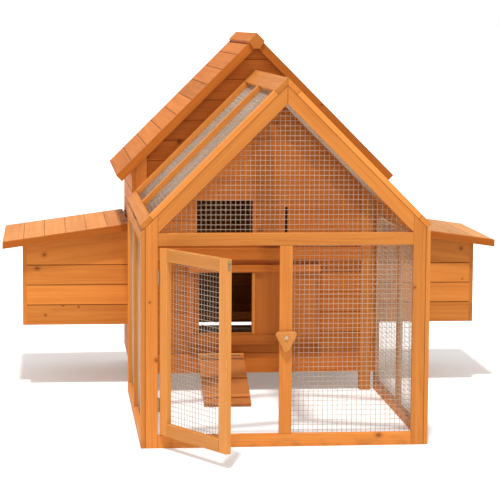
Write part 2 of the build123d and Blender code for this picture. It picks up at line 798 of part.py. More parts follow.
# nest lids: boards from front to back between two fascias
lid_span = (nest_front - lid_front_overhang, nest_rear + lid_rear_overhang)
lid_inner = house_half + lid_wall_gap
lid_axis_x = house_half + hinge_surface_distance
lid_tilt = radians(lid_slope)
lid_axis_z = lid_surface(lid_axis_x) + hinge_surface_distance / cos(lid_tilt)
lid_board_pitch = (run_half + lid_reach - lid_inner) / lid_board_count


def lid_band(near, far, top, bottom):
    """An outline across a lid between two distances from the middle, measured down from its top."""
    return [
        (near, lid_surface(near) - top),
        (far, lid_surface(far) - top),
        (far, lid_surface(far) - bottom),
        (near, lid_surface(near) - bottom),
    ]


board_drop = lid_board_thickness / cos(lid_tilt)
lid_boards = []
for index in range(lid_board_count):
    near = lid_inner + index * lid_board_pitch
    band = lid_band(near, near + lid_board_pitch, 0, board_drop)
    boards_span = (lid_span[0] + lid_fascia_thickness, lid_span[1] - lid_fascia_thickness)
    lid_boards.append(eased(carried_along_y(band, boards_span), lid_board_edge))
fascias = []
fascia_band = lid_band(lid_inner, run_half + lid_reach, 0, lid_drop)
for start in (lid_span[0], lid_span[1] - lid_fascia_thickness):
    fascias.append(eased(carried_along_y(fascia_band, (start, start + lid_fascia_thickness))))
edge_band = lid_band(run_half + lid_reach - stock_thickness, run_half + lid_reach, board_drop, lid_drop)
fascias.append(carried_along_y(edge_band, boards_span))
save("nest_lid_boards_right", *lid_boards)
save("nest_lid_boards_left", *[mirror(board, about=Plane.YZ) for board in lid_boards])
save("nest_lid_fascias_right", *fascias)
save("nest_lid_fascias_left", *[mirror(piece, about=Plane.YZ) for piece in fascias])

# lid hinges: a leaf up the house wall and a leaf along the lid
along_y = Location((0, 0, 0), (-90, 0, 0))
wall_leaves = []
lid_leaves = []
near_offset = hinge_surface_distance - hinge_leaf_thickness
plate = (hinge_leaf_thickness, hinge_leaf_reach)
for share in lid_hinge_shares:
    place = Location((lid_axis_x, nest_front + nest_length * share, lid_axis_z)) * along_y
    wall_leaves.append(place * hinge_leaf(0, -90, -hinge_surface_distance, *plate))
    lid_leaves.append(place * hinge_leaf(1, lid_slope, near_offset, *plate))
    hinge_pins.extend(both_sides(place * hinge_pin()))
wall_leaves.extend([mirror(leaf, about=Plane.YZ) for leaf in wall_leaves])
save("lid_hinge_leaves_right", *lid_leaves)
save("lid_hinge_leaves_left", *[mirror(leaf, about=Plane.YZ) for leaf in lid_leaves])

# ramp hinges: a leaf down the ledge and a leaf along the ramp
along_x = Location((0, 0, 0), (0, 90, 0))
ledge_leaves = []
ramp_leaves = []
for share in ramp_hinge_shares:
    place_x = ramp_left + (ramp_right - ramp_left) * share
    place = Location((place_x, ramp_axis_y, ramp_hinge_height))
    ledge_leaves.append(place * along_x * hinge_leaf(0, 0, near_offset, *plate))
    ramp_leaves.append(ramp_turn * Pos(place_x, 0, 0) * along_x * hinge_leaf(1, -90, near_offset, *plate))
    hinge_pins.append(place * along_x * hinge_pin())
first_tread = treads[0]
for leaf in ramp_leaves:
    first_tread -= leaf
save("ramp_treads", first_tread.solid(), *treads[1:])
save("hinge_fixed_leaves", *fixed_leaves, *wall_leaves, *ledge_leaves)
save("ramp_hinge_ramp_leaves", *ramp_leaves)
save("hinge_pins", *hinge_pins)

# centre the coop on its own box and write one file for each node
boxes = [solid.bounding_box() for solids in nodes.values() for solid in solids]
low = [min(getattr(box.min, axis) for box in boxes) for axis in "XYZ"]
high = [max(getattr(box.max, axis) for box in boxes) for axis in "XYZ"]
shift = Pos(0, -(low[1] + high[1]) / 2, 0)
os.makedirs("parts", exist_ok=True)
for name, solids in nodes.items():
    export_step(Compound(children=[shift * solid for solid in solids]), f"parts/{name}.step")

shift_y = shift.position.Y
print("nodes", len(nodes))
print("lowest", [round(value, 2) for value in low], "highest", [round(value, 2) for value in high])
print("shift_y", shift_y)
print("door axis", door_axis_x, door_axis_y + shift_y)
print("button axis", 0, shift_y, button_height)
print("lid axis", lid_axis_x, lid_axis_z)
print("ramp axis", ramp_axis_y + shift_y, ramp_hinge_height)
print("pop door travel", door_travel)
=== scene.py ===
import json
from math import cos, pi, radians, sin

import bpy
import numpy as np
from mathutils import Matrix, Vector


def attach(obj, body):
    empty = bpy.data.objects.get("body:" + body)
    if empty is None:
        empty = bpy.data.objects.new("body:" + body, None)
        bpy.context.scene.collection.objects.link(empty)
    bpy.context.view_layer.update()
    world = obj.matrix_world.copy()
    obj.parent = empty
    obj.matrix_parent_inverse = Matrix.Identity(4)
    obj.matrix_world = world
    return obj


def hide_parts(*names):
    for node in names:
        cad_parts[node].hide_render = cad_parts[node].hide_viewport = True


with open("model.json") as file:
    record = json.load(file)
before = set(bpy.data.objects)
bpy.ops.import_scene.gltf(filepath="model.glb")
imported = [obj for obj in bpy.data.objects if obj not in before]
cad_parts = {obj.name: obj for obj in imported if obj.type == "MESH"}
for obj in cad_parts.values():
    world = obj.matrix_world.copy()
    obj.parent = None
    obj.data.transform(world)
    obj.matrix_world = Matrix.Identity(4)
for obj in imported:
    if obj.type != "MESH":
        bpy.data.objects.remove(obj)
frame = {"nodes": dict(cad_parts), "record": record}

# Timber chicken coop. The frame brings the carpentry, and this file gives every board its own grain and tone,
# strings the welded wire, and adds the screws, staples and nails.

for spareName in ("Cube", "Light", "Camera"):
    spare = bpy.data.objects.get(spareName)
    if spare:
        bpy.data.objects.remove(spare)
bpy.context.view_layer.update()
luck = np.random.default_rng(41)
bodies = frame["record"]["behaviour"]["bodies"]
bodyOfNode = {node: body for body, members in bodies.items() for node in members}
slotOfNode = {row["node"]: row["material_slot"] for row in frame["record"]["subparts"]}
print("frame loaded:", len(frame["nodes"]), "nodes")


class Wire:
    # a socket with arithmetic: each operator adds one Math node
    def __init__(self, looks, socket):
        self.looks = looks
        self.socket = socket

    def maths(self, operation, *others, clamp=False):
        values = dict(enumerate([self, *others]))
        return self.looks.out("ShaderNodeMath", {"operation": operation, "use_clamp": clamp}, values)

    def __add__(self, other):
        return self.maths("ADD", other)

    __radd__ = __add__

    def __sub__(self, other):
        return self.maths("SUBTRACT", other)

    def __rsub__(self, other):
        return self.looks.out("ShaderNodeMath", {"operation": "SUBTRACT"}, {0: other, 1: self})

    def __mul__(self, other):
        return self.maths("MULTIPLY", other)

    __rmul__ = __mul__

    def __truediv__(self, other):
        return self.maths("DIVIDE", other)

    def __pow__(self, other):
        return self.maths("POWER", other)

    def sine(self):
        return self.maths("SINE")

    def root(self):
        return self.maths("SQRT")

    def over(self, level):
        return self.maths("GREATER_THAN", level)

    def most(self, other):
        return self.maths("MAXIMUM", other)

    def clamped(self):
        return self.maths("ADD", 0.0, clamp=True)

    def ramp(self, low, high):
        # 0 below low, 1 above high, smooth between them
        settings = {"interpolation_type": "SMOOTHSTEP"}
        sockets = {"Value": self, "From Min": low, "From Max": high}
        return self.looks.out("ShaderNodeMapRange", settings, sockets)


class Looks:
    # one material being made
    def __init__(self, name):
        self.material = bpy.data.materials.new(name)
        self.material.use_nodes = True
        self.tree = self.material.node_tree
        self.tree.nodes.clear()
        self.skin = self.node("ShaderNodeBsdfPrincipled")
        output = self.node("ShaderNodeOutputMaterial")
        self.tree.links.new(self.skin.outputs["BSDF"], output.inputs["Surface"])

    def node(self, kind, settings={}, sockets={}):
        made = self.tree.nodes.new(kind)
        for key, value in settings.items():
            setattr(made, key, value)
        for key, value in sockets.items():
            self.feed(made.inputs[key], value)
        return made

    def feed(self, socket, value):
        if isinstance(value, Wire):
            self.tree.links.new(value.socket, socket)
        else:
            socket.default_value = value

    def out(self, kind, settings={}, sockets={}, output=0):
        return Wire(self, self.node(kind, settings, sockets).outputs[output])

    def attribute(self, name, output="Fac"):
        settings = {"attribute_name": name, "attribute_type": "GEOMETRY"}
        return self.out("ShaderNodeAttribute", settings, {}, output)

    def spot(self):
        return self.out("ShaderNodeTexCoord", {}, {}, "Object")

    def split(self, vector):
        parts = self.node("ShaderNodeSeparateXYZ", {}, {0: vector})
        return [Wire(self, socket) for socket in parts.outputs]

    def join(self, x, y, z):
        return self.out("ShaderNodeCombineXYZ", {}, {0: x, 1: y, 2: z})

    def noise(self, vector, scale, detail=2.0, roughness=0.5):
        sockets = {"Vector": vector, "Scale": scale, "Detail": detail, "Roughness": roughness}
        return self.out("ShaderNodeTexNoise", {"noise_dimensions": "3D"}, sockets, "Fac")

    def blend(self, share, first, second, how="MIX"):
        made = self.node("ShaderNodeMix", {"data_type": "RGBA", "blend_type": how})
        for index, value in ((0, share), (6, first), (7, second)):
            self.feed(made.inputs[index], value)
        return Wire(self, made.outputs[2])

    def grey(self, value):
        return self.out("ShaderNodeCombineColor", {}, {0: value, 1: value, 2: value})

    def set(self, **values):
        for key, value in values.items():
            self.feed(self.skin.inputs[key.replace("_", " ")], value)

    def relief(self, height, depth):
        sockets = {"Height": height, "Distance": depth, "Strength": 1.0}
        self.set(Normal=self.out("ShaderNodeBump", {}, sockets))


def colour(red, green, blue):
    return (red, green, blue, 1.0)


timberLooks = {
    "frame": {"pale": (0.640, 0.228, 0.046), "deep": (0.440, 0.126, 0.018), "knot": (0.150, 0.036, 0.008),
              "worn": (0.70, 0.31, 0.095), "ringsPerMetre": 210.0, "streak": 0.46, "lateWood": 0.20,
              "knotShare": 0.16, "rough": 0.50, "seamDirtAndShade": 0.70,
              "placedKnots": [((-0.416, -0.680, 0.450), 0.0032), ((0.396, -0.680, 0.490), 0.0040)]},
    "door": {"pale": (0.650, 0.265, 0.066), "deep": (0.465, 0.155, 0.029), "knot": (0.160, 0.040, 0.009),
             "worn": (0.74, 0.37, 0.125), "ringsPerMetre": 210.0, "streak": 0.42, "lateWood": 0.18,
             "knotShare": 0.12, "rough": 0.48, "seamDirtAndShade": 0.75},
    "wall": {"pale": (0.640, 0.222, 0.042), "deep": (0.440, 0.122, 0.016), "knot": (0.150, 0.034, 0.007),
             "worn": (0.70, 0.29, 0.080), "ringsPerMetre": 150.0, "streak": 0.44, "lateWood": 0.18,
             "knotShare": 0.20, "rough": 0.52, "seamDirtAndShade": 0.62,
             "placedKnots": [((-0.733, 0.399, 0.473), 0.0065), ((-0.730, 0.399, 0.257), 0.0042),
                             ((-0.613, 0.399, 0.285), 0.0036), ((0.764, 0.399, 0.488), 0.0060)]},
    # This look is the wall stain painted darker: painted shade for the house front wall and gable boards,
    # which lie in shadow under the run roof and the eaves.
    "shadedGable": {"pale": (0.470, 0.135, 0.020), "deep": (0.310, 0.072, 0.009), "knot": (0.105, 0.022, 0.005),
              "worn": (0.54, 0.19, 0.045), "ringsPerMetre": 150.0, "streak": 0.48, "lateWood": 0.18,
              "knotShare": 0.22, "rough": 0.56, "seamDirtAndShade": 0.30,
              "placedKnots": [((-0.265, 0.264, 0.881), 0.0080)]},
    "fascia": {"pale": (0.430, 0.116, 0.014), "deep": (0.290, 0.064, 0.006), "knot": (0.110, 0.024, 0.005),
               "worn": (0.60, 0.24, 0.060), "ringsPerMetre": 190.0, "streak": 0.44, "lateWood": 0.18,
               "knotShare": 0.10, "rough": 0.55, "seamDirtAndShade": 0.60},
    "roof": {"pale": (0.545, 0.176, 0.038), "deep": (0.400, 0.110, 0.019), "knot": (0.140, 0.040, 0.010),
             "worn": (0.62, 0.29, 0.100), "ringsPerMetre": 150.0, "streak": 0.56, "lateWood": 0.22,
             "knotShare": 0.24, "rough": 0.70, "seamDirtAndShade": 0.50},
    # The two lid looks are one stain in two brightnesses: painted light on the right lid and painted shade on
    # the left lid, for the way light falls on their two slopes.
    "leftLidShaded": {"pale": (0.590, 0.240, 0.073), "deep": (0.430, 0.150, 0.036), "knot": (0.150, 0.044, 0.012),
                "worn": (0.66, 0.34, 0.130), "ringsPerMetre": 150.0, "streak": 0.48, "lateWood": 0.18,
                "knotShare": 0.20, "rough": 0.60, "seamDirtAndShade": 0.40},
    "rightLidLit": {"pale": (0.610, 0.290, 0.110), "deep": (0.450, 0.180, 0.052), "knot": (0.150, 0.048, 0.014),
                "worn": (0.66, 0.36, 0.160), "ringsPerMetre": 150.0, "streak": 0.48, "lateWood": 0.18,
                "knotShare": 0.20, "rough": 0.60, "seamDirtAndShade": 0.50},
    "panel": {"pale": (0.500, 0.145, 0.024), "deep": (0.380, 0.096, 0.013), "knot": (0.120, 0.026, 0.006),
              "worn": (0.58, 0.22, 0.055), "ringsPerMetre": 40.0, "streak": 0.30, "lateWood": 0.12,
              "knotShare": 0.04, "rough": 0.50, "seamDirtAndShade": 0.60},
    "ramp": {"pale": (0.490, 0.165, 0.042), "deep": (0.370, 0.112, 0.024), "knot": (0.120, 0.026, 0.006),
             "worn": (0.58, 0.24, 0.075), "ringsPerMetre": 40.0, "streak": 0.30, "lateWood": 0.12,
             "knotShare": 0.04, "rough": 0.50, "seamDirtAndShade": 0.60},
    "tray": {"pale": (0.460, 0.250, 0.110), "deep": (0.340, 0.160, 0.060), "knot": (0.160, 0.060, 0.022),
             "worn": (0.56, 0.37, 0.200), "ringsPerMetre": 90.0, "streak": 0.34, "lateWood": 0.14,
             "knotShare": 0.10, "rough": 0.62, "seamDirtAndShade": 0.60},
}


knots = {"cellsAlong": 4.2, "cellsAcross": 15.0, "scatter": 0.9, "smallest": 0.0022, "sizeSpread": 0.0048,
         "bend": 0.010}
dirt = {"shade": (0.16, 0.065, 0.022), "height": 0.05, "share": 0.30}


# Four discs about a knot's centre, each fading smoothly with the distance over the knot's size: the knot
# itself, its dark eye, the darker wood round it, and the reach within which it bends the rings.
def knotMasks(away, size, ragged):
    knot = 1.0 - (away / (ragged * size)).ramp(0.55, 1.25)
    eye = 1.0 - (away / (size * 0.45)).ramp(0.4, 1.2)
    halo = 1.0 - (away / (size * 2.6)).ramp(0.3, 1.0)
    pull = 1.0 - (away / (size * 4.2)).ramp(0.0, 1.0)
    return knot, eye, halo, pull


# Growth rings are the distance from the heart of the tree, bent by slow noise and by each knot, turned into
# narrow dark lines. Streaks are noise drawn out along the grain. A knot is a brown disc in some cells of a
# Voronoi pattern, or at a place given in the piece's look. Each board is a little lighter or darker. Its
# eased edges are rubbed paler where they are free, and are darkened where they meet another board, with dirt
# and painted shade in the seam. Mud splashes darken the lowest few centimetres.
def stainedTimber(name, look):
    wood = Looks(name)
    place = wood.attribute("woodPlace", "Vector")
    tone = wood.attribute("boardTone")
    worn = wood.attribute("wornEdge")
    joint = wood.attribute("jointEdge")
    cut = wood.attribute("cutEnd")
    along, across, through = wood.split(place)
    cellsAlong, cellsAcross = knots["cellsAlong"], knots["cellsAcross"]
    cells = wood.node("ShaderNodeTexVoronoi", {"voronoi_dimensions": "2D", "feature": "F1"},
                      {"Vector": wood.join(along * cellsAlong, across * cellsAcross, 0.0), "Scale": 1.0,
                       "Randomness": knots["scatter"]})
    cellLuck = wood.split(Wire(wood, cells.outputs["Color"]))
    cellX, cellY, _ = wood.split(Wire(wood, cells.outputs["Position"]))
    awayX = along - cellX / cellsAlong
    awayY = across - cellY / cellsAcross
    away = (awayX * awayX * 0.5 + awayY * awayY).root()
    hasKnot = cellLuck[0].over(1.0 - look["knotShare"])
    knotSize = cellLuck[1] * knots["sizeSpread"] + knots["smallest"]
    ragged = wood.noise(place, 160.0, 2.0) * 0.6 + 0.7
    knot, knotEye, ringHalo, pull = (hasKnot * mask for mask in knotMasks(away, knotSize, ragged))
    spot = wood.spot()
    for knotPlace, radius in look.get("placedKnots", []):
        reach = wood.out("ShaderNodeVectorMath", {"operation": "DISTANCE"}, {0: spot, 1: knotPlace}, "Value")
        placed = knotMasks(reach, radius, ragged)
        masks = zip((knot, knotEye, ringHalo, pull), placed)
        knot, knotEye, ringHalo, pull = (scattered.most(other) for scattered, other in masks)
    pull = pull * knots["bend"]
    drawn = wood.join(along * 1.1, across * 9.0, through * 9.0)
    bend = (wood.noise(drawn, 1.6, 3.0) - 0.5) * 0.034
    heart = (across * across + through * through).root() + along * 0.006 + bend + pull
    ring = (heart * (2 * pi * look["ringsPerMetre"])).sine() * 0.5 + 0.5
    lateWood = ring ** 2.6
    fibre = wood.noise(wood.join(along * 14.0, across * 620.0, through * 620.0), 1.0, 2.0)
    streak = wood.noise(wood.join(along * 1.4, across * 62.0, through * 62.0), 1.0, 4.0, 0.58)
    streak = streak.ramp(0.28, 0.76)
    cloud = wood.noise(wood.join(along * 3.0, across * 11.0, through * 11.0), 1.0, 2.0)
    depth = streak * look["streak"] + lateWood * look["lateWood"]
    depth = depth + (fibre - 0.5) * 0.26 + (cloud - 0.5) * 0.60
    body = wood.blend(depth.clamped(), colour(*look["pale"]), colour(*look["deep"]))
    body = wood.blend(ringHalo * 0.50, body, colour(*[0.8 * value for value in look["deep"]]))
    body = wood.blend(knot * 0.54, body, colour(*look["knot"]))
    body = wood.blend(knotEye * 0.42, body, colour(*[0.6 * value for value in look["knot"]]))
    body = wood.blend(1.0, body, wood.grey(tone * 0.34 + 0.83), "MULTIPLY")
    rubbed = worn * (1.0 - joint) * wood.noise(place, 38.0, 3.0).ramp(0.40, 0.66) * 0.6
    body = wood.blend(rubbed, body, colour(*look["worn"]))
    # seams where boards meet are darkened with dirt and painted shade, standing for the shadow in the joint
    body = wood.blend(joint * look["seamDirtAndShade"], body, colour(*[0.26 * value for value in look["deep"]]))
    body = wood.blend(cut * 0.30, body, colour(*[0.75 * value for value in look["deep"]]))
    height = wood.split(spot)[2]
    splash = (1.0 - height.ramp(0.0, dirt["height"])) * wood.noise(spot, 26.0, 3.0).ramp(0.42, 0.70)
    body = wood.blend(splash * dirt["share"], body, colour(*dirt["shade"]))
    wood.set(Base_Color=body, Roughness=fibre * 0.20 + look["rough"] - 0.06 + worn * 0.08 - knot * 0.10)
    wood.relief(fibre * 0.35 + streak * 0.20 - lateWood * 0.30 - knot * 0.5, 0.0006)
    wood.set(Specular_IOR_Level=0.10)
    return wood.material


# Zinc: one tint with the crystal flakes of hot galvanising, from cells each with a brightness of its own, and
# dulled by a cloudy bloom.
def galvanisedZinc(name, tint, flakeScale, rough, metallic):
    zinc = Looks(name)
    spot = zinc.spot()
    cells = zinc.node("ShaderNodeTexVoronoi", {"voronoi_dimensions": "3D", "feature": "F1"},
                      {"Vector": spot, "Scale": flakeScale})
    flake = zinc.split(Wire(zinc, cells.outputs["Color"]))[0]
    bloom = zinc.noise(spot, 14.0, 4.0).ramp(0.48, 0.72)
    shade = flake * 0.22 + 0.80 - bloom * 0.18
    body = zinc.blend(1.0, colour(*tint), zinc.grey(shade), "MULTIPLY")
    zinc.set(Base_Color=body, Roughness=flake * 0.14 + rough + bloom * 0.16, Metallic=metallic)
    zinc.relief(flake * 0.5 + bloom * 0.3, 0.0002)
    return zinc.material


timberMaterials = {kind: stainedTimber("stained_timber_" + kind, look) for kind, look in timberLooks.items()}
# The wire's tint is warmer than bare zinc: partly the zinc's own colour, partly a painted reflection of the
# orange timber round it.
wireZinc = galvanisedZinc("galvanised_wire", (0.47, 0.370, 0.275), 420.0, 0.46, 0.25)
plateZinc = galvanisedZinc("zinc_plate", (0.27, 0.205, 0.140), 160.0, 0.46, 0.40)
darkSteel = galvanisedZinc("fixing_steel", (0.20, 0.17, 0.14), 300.0, 0.45, 0.60)
yellowZinc = galvanisedZinc("yellow_zinc_plate", (0.36, 0.205, 0.078), 190.0, 0.60, 0.05)
screwZinc = galvanisedZinc("screw_zinc", (0.52, 0.42, 0.32), 300.0, 0.40, 0.30)
metalFinish = {"button_screw": screwZinc, "hinge_pins": plateZinc}    # the other plated parts are yellow zinc
print("materials made:", len(bpy.data.materials))


# A node's solids, each as the corner places of its triangles. A solid is a run of triangles whose edges all
# pair off inside the run, so a new one starts wherever no edge is still waiting for its partner.
def solidsOf(node):
    mesh = frame["nodes"][node].data
    places = np.empty(len(mesh.vertices) * 3)
    mesh.vertices.foreach_get("co", places)
    places = places.reshape(-1, 3)
    corners = np.empty(len(mesh.loops), int)
    mesh.loops.foreach_get("vertex_index", corners)
    triangles = corners.reshape(-1, 3)
    _, merged = mergedPlaces(places)
    named = merged[triangles]
    edges = np.stack([named, np.roll(named, -1, 1)], -1).reshape(-1, 2)
    edges.sort(1)
    owner = np.repeat(np.arange(len(triangles)), 3)
    code = edges[:, 0] * (merged.max() + 1) + edges[:, 1]
    owner = owner[np.lexsort((owner, code))]
    waiting = np.zeros(len(triangles) + 1, int)
    np.add.at(waiting, owner[0::2], 1)
    np.add.at(waiting, owner[1::2], -1)
    waiting = np.cumsum(waiting)[:-1]
    return np.split(places[triangles], np.flatnonzero(waiting[:-1] == 0) + 1)


# Places that agree to a thousandth of a millimetre count as one. Gives the first of each, and for every place
# the number of its own.
def mergedPlaces(places):
    _, first, merged = np.unique(np.round(places * 1e6).astype(np.int64), axis=0, return_index=True,
                                 return_inverse=True)
    return first, merged.ravel()


def unit(vector):
    return vector / np.linalg.norm(vector)


def boxMiddle(places):
    return (places.min(0) + places.max(0)) / 2


# Each triangle's normal, and twice its area.
def facesOf(triangles):
    crossed = np.cross(triangles[:, 1] - triangles[:, 0], triangles[:, 2] - triangles[:, 0])
    area = np.linalg.norm(crossed, axis=1)
    return crossed / np.maximum(area, 1e-15)[:, None], area


# A board's own directions: its widest face gives 'through', its next widest (made square to the first) gives
# 'across', and the grain is square to both.
def boardAxes(triangles):
    normals, area = facesOf(triangles)
    alike = np.abs(normals @ normals.T) > facingAlike
    weight = alike @ area
    through = normals[weight.argmax()]
    square = np.abs(normals @ through) < boardLooks["square"]
    across = normals[np.where(square, weight, 0).argmax()]
    across = unit(across - through * (across @ through))
    return unit(np.cross(through, across)), across, through


def addAttribute(mesh, name, kind, domain, values):
    made = mesh.attributes.new(name, kind, domain)
    field = "vector" if kind == "FLOAT_VECTOR" else "value"
    made.data.foreach_set(field, np.ascontiguousarray(values, np.float32).ravel())


def meshObject(name, places, faces):
    mesh = bpy.data.meshes.new(name)
    mesh.from_pydata([tuple(place) for place in places], [], [tuple(face) for face in faces])
    mesh.update()
    made = bpy.data.objects.new(name, mesh)
    bpy.context.scene.collection.objects.link(made)
    return made


# Every board's flat faces, as outward planes, with the box round it: a point is inside a board when it is
# behind all of its planes.
def allBoards():
    boards = []
    for node in sorted(frame["nodes"]):
        if slotOfNode[node] in metalSlots:
            continue
        for board in solidsOf(node):
            normals, _ = facesOf(board)
            planes = np.unique(np.round(np.c_[normals, (normals * board[:, 0]).sum(1)], 5), axis=0)
            flat = board.reshape(-1, 3)
            boards.append((bodyOfNode[node], flat.min(0), flat.max(0), planes))
    return boards


def insideAnother(points, body):
    reach, skin = boardLooks["jointReach"], boardLooks["skin"]
    found = np.zeros(len(points), bool)
    for boardBody, low, high, planes in solidBoards:
        if boardBody != body:
            continue
        near = np.flatnonzero(np.all((points > low - reach) & (points < high + reach), 1) & ~found)
        if len(near):
            ahead = points[near] @ planes[:, :3].T - planes[:, 3]
            found[near[ahead.max(1) < skin]] = True
    return found


facingAlike = 0.9995    # the cosine above which two normals count as one direction
# square, endwise, eased and lean are cosines too, and the lengths are in metres
boardLooks = {"square": 0.30, "jointReach": 0.0032, "skin": 0.0004, "endwise": 0.6, "eased": 0.93,
              "lean": 0.3, "logSpot": (3.0, 60.0), "logAside": 0.030, "logDepth": (0.012, 0.05)}
metalSlots = ("zinc_plated_steel", "galvanised_mesh")
solidBoards = allBoards()
grainOverride = {"pop_door_panel": (0.0, 0.0, 1.0)}
toneOverride = {"front_crossbar": [0.0], "front_posts": [0.0, 0.5], "front_middle_post": [0.45]}
toneShift = {"nest_walls_right": -0.55, "front_rafters": -0.50, "run_door_frame": -0.35, "ramp_board": -0.40}


# One piece for each timber node: the same boards, each merged into a closed solid of its own, with the place
# in the log as an attribute (along the grain, across it and through it, measured from a heart off the board).
def timberPiece(node, kind):
    piecePlaces, pieceFaces, woodPlaces, tones, wornFaces, cutFaces, jointFaces = [], [], [], [], [], [], []
    start = 0
    for index, board in enumerate(solidsOf(node)):
        grain, across, through = boardAxes(board)
        if node in grainOverride:
            grain = np.array(grainOverride[node])
            across = unit(np.cross(through, grain))
        axes = (grain, across, through)
        normals, _ = facesOf(board)
        flat = board.reshape(-1, 3)
        first, merged = mergedPlaces(flat)
        places = flat[first]
        middle = boxMiddle(places)
        local = np.stack([(places - middle) @ axis for axis in axes], 1)
        aside = boardLooks["logAside"]
        heart = np.array([luck.uniform(*boardLooks["logSpot"]), luck.uniform(-aside, aside),
                          luck.choice([-1, 1]) * luck.uniform(*boardLooks["logDepth"])])
        side = np.array([luck.choice([-1, 1]), luck.choice([-1, 1]), 1.0])
        tone = luck.uniform(0, 1) + toneShift.get(node, 0.0)
        if node in toneOverride:
            tone = toneOverride[node][index]
        leans = np.stack([normals @ axis for axis in axes])
        eased = np.abs(leans).max(0) < boardLooks["eased"]
        meets = np.zeros(len(board), bool)
        for lean, axis in zip(leans, axes):
            outside = board.mean(1) + np.sign(lean)[:, None] * axis * boardLooks["jointReach"]
            meets |= (np.abs(lean) > boardLooks["lean"]) & insideAnother(outside, bodyOfNode[node])
        piecePlaces.append(places)
        pieceFaces.append(merged.reshape(-1, 3) + start)
        woodPlaces.append(local * side + heart)
        tones.append(np.full(len(board), tone))
        wornFaces.append(eased)
        cutFaces.append(np.abs(leans[0]) > boardLooks["endwise"])
        jointFaces.append(eased & meets)
        start += len(places)
    piece = meshObject("timber_" + node, np.concatenate(piecePlaces), np.concatenate(pieceFaces))
    mesh = piece.data
    addAttribute(mesh, "woodPlace", "FLOAT_VECTOR", "POINT", np.concatenate(woodPlaces))
    addAttribute(mesh, "boardTone", "FLOAT", "FACE", np.concatenate(tones))
    addAttribute(mesh, "wornEdge", "FLOAT", "FACE", np.concatenate(wornFaces))
    addAttribute(mesh, "jointEdge", "FLOAT", "FACE", np.concatenate(jointFaces))
    addAttribute(mesh, "cutEnd", "FLOAT", "FACE", np.concatenate(cutFaces))
    mesh.materials.append(timberMaterials[kind])
    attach(piece, bodyOfNode[node])
    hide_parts(node)


def timberKind(node):
    if node in ("ramp_board", "ramp_treads"):
        return "ramp"
    if node == "pop_door_panel":
        return "panel"
    if node in ("run_door_frame", "turn_button"):
        return "door"
    if node in ("dropping_tray", "house_floor_boards", "nest_floors"):
        return "tray"
    if node == "barge_boards" or "fascias" in node:
        return "fascia"
    # each nest lid gets its own brightness of the stain: painted light on the right lid, painted shade on the
    # left
    if node.startswith("nest_lid_boards"):
        return "rightLidLit" if node.endswith("right") else "leftLidShaded"
    if "roof_boards" in node or node == "ridge_cap":
        return "roof"
    # the house front wall, gable and pop door boards take the darker look, which is painted shade
    if node.startswith("front_wall") or node in ("front_gable_boards", "pop_door_tracks", "pop_door_stops"):
        return "shadedGable"
    return "wall" if slotOfNode[node] == "wall_boards" else "frame"


for node in sorted(frame["nodes"]):
    if slotOfNode[node] not in metalSlots:
        timberPiece(node, timberKind(node))
    elif slotOfNode[node] == "zinc_plated_steel":
        metalMesh = frame["nodes"][node].data
        metalMesh.materials.clear()
        metalMesh.materials.append(metalFinish.get(node, yellowZinc))
print("timber pieces made")


# The faces of a number of closed tubes, each of so many rings of so many places: the sides, then both ends.
def tubeFaces(count, rings, sides):
    base = (np.arange(count) * rings * sides)[:, None, None]
    step = (np.arange(rings - 1) * sides)[None, :, None]
    spoke = np.arange(sides)[None, None]
    after = (spoke + 1) % sides
    quads = np.stack([base + step + spoke, base + step + after, base + step + sides + after,
                      base + step + sides + spoke], -1)
    foot = base[:, 0] + np.arange(sides)[None, ::-1]
    head = base[:, 0] + (rings - 1) * sides + np.arange(sides)[None]
    return quads.reshape(-1, 4), np.concatenate([foot, head])


weldedWire = {"pitch": 0.0150, "radius": 0.00070, "layerShare": 0.85, "wander": 0.0007, "stations": 5,
              "sides": 6, "firstShare": 0.4, "lastGap": 0.001, "endGap": 0.0005, "shortest": 0.006}


# A wire is a six-sided tube carried along a nearly straight line: the line wanders by a sine whose height,
# length and phase are the wire's own, and falls to nothing at both ends.
def wireTubes(starts, ends, lift, sideways):
    count, stations, sides = len(starts), weldedWire["stations"], weldedWire["sides"]
    share = np.linspace(0, 1, stations)
    line = starts[:, None] + (ends - starts)[:, None] * share[None, :, None]
    height = luck.uniform(-1, 1, (count, 1)) * weldedWire["wander"]
    wave = height * np.sin(pi * share[None] * luck.integers(1, 4, (count, 1)))
    lean = height[::-1] * np.sin(pi * share[None])
    line = line + wave[..., None] * sideways + lean[..., None] * lift
    turn = np.arange(sides) * 2 * pi / sides
    outward = np.sign(np.cross(sideways, lift) @ (ends[0] - starts[0]))
    ring = np.cos(turn)[:, None] * sideways * outward + np.sin(turn)[:, None] * lift
    places = (line[:, :, None] + weldedWire["radius"] * ring[None, None]).reshape(-1, 3)
    return places, *tubeFaces(count, stations, sides)


# Where lines at the given levels cross a flat convex outline: the lowest and highest place along each line.
def clipped(outline, levels):
    ahead = np.roll(outline, -1, 0)
    low = np.full(len(levels), np.inf)
    high = np.full(len(levels), -np.inf)
    for (startAlong, startLevel), (stopAlong, stopLevel) in zip(outline, ahead):
        if abs(stopLevel - startLevel) < 1e-9:
            continue
        share = (levels - startLevel) / (stopLevel - startLevel)
        crosses = (share >= 0) & (share <= 1)
        along = startAlong + share * (stopAlong - startAlong)
        low = np.where(crosses, np.minimum(low, along), low)
        high = np.where(crosses, np.maximum(high, along), high)
    return low, high


# A mesh sheet's middle, its normal, its level and upward directions, and its outline in those two. The
# outline's corners are put in order by their angle about the middle, which suits a convex shape.
def sheetPlan(sheet):
    _, _, normal = boardAxes(sheet)
    level = unit(np.cross((0.0, 0.0, 1.0), normal))
    upward = unit(np.cross(normal, level))
    flat = sheet.reshape(-1, 3)
    middle = boxMiddle(flat)
    outline = np.unique(np.round(np.stack([(flat - middle) @ level, (flat - middle) @ upward], 1), 6), axis=0)
    away = outline - outline.mean(0)
    return middle, normal, level, upward, outline[np.argsort(np.arctan2(away[:, 1], away[:, 0]))]


